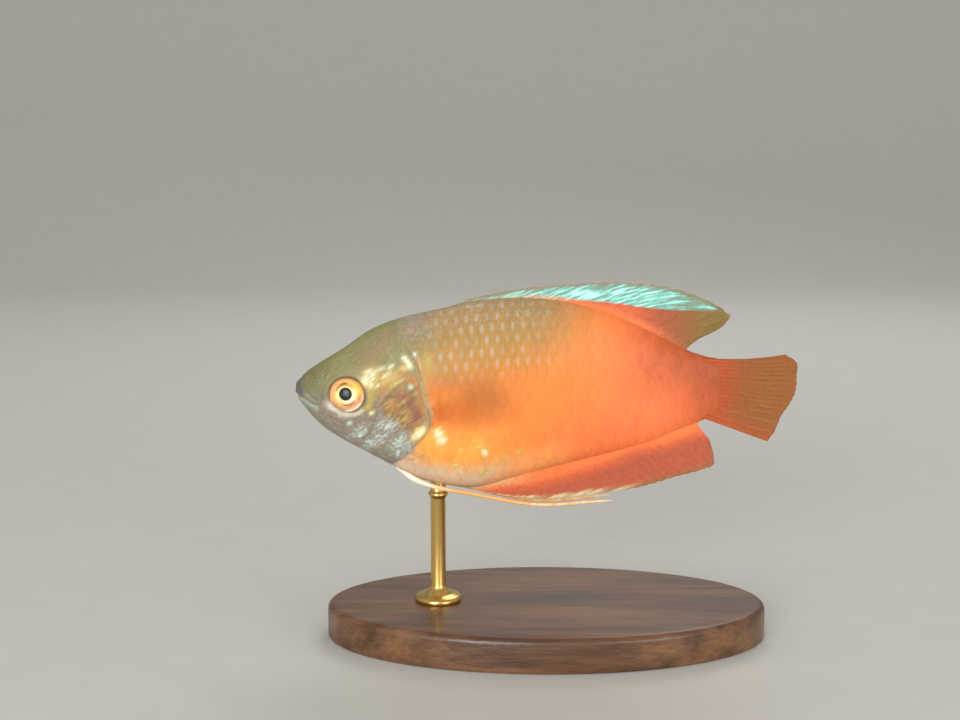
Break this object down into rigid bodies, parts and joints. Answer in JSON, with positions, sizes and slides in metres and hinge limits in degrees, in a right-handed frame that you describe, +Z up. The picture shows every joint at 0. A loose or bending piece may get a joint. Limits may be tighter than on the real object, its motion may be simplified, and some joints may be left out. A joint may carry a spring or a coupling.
{
  "type": "dwarf gourami model",
  "caption": "Life-size museum model of a red-orange male dwarf gourami swimming level, held by a turned brass rod on an oval walnut base.",
  "frame": {"origin": "middle of the base's flat underside", "axes": "-X towards the fish's snout, +X towards its tail, +Y towards its right flank, -Y towards its left flank, +Z up"},
  "size_m": [0.0724, 0.036, 0.0517],
  "materials": {
    "head_skin": "wet olive-grey skin above, silver-lilac below",
    "body_skin": "small overlapping scales, olive to gold to red-orange, glossy",
    "red_fin": "thin red-brown fin skin between rays, satin",
    "clear_fin": "nearly clear fin skin between fine rays, satin",
    "gold_thread": "cream to orange-gold thread-like fin, satin",
    "eye": "black pupil in an orange-gold ring under a clear glossy dome",
    "brass": "satin brass",
    "walnut": "oiled walnut, satin"
  },
  "bodies": {
    "root": {"head": "head_skin", "lower_jaw": "head_skin", "gill_cover_left": "head_skin", "gill_cover_right": "head_skin", "shoulder": "body_skin", "flank": "body_skin", "tail_stalk": "body_skin", "dorsal_fin": "red_fin", "anal_fin": "red_fin", "tail_fin": "red_fin", "pectoral_fin_left": "clear_fin", "pectoral_fin_right": "clear_fin", "pelvic_fin_left": "gold_thread", "pelvic_fin_right": "gold_thread", "eye_left": "eye", "eye_right": "eye", "stand_rod": "brass", "stand_base": "walnut"}
  },
  "joints": []
}
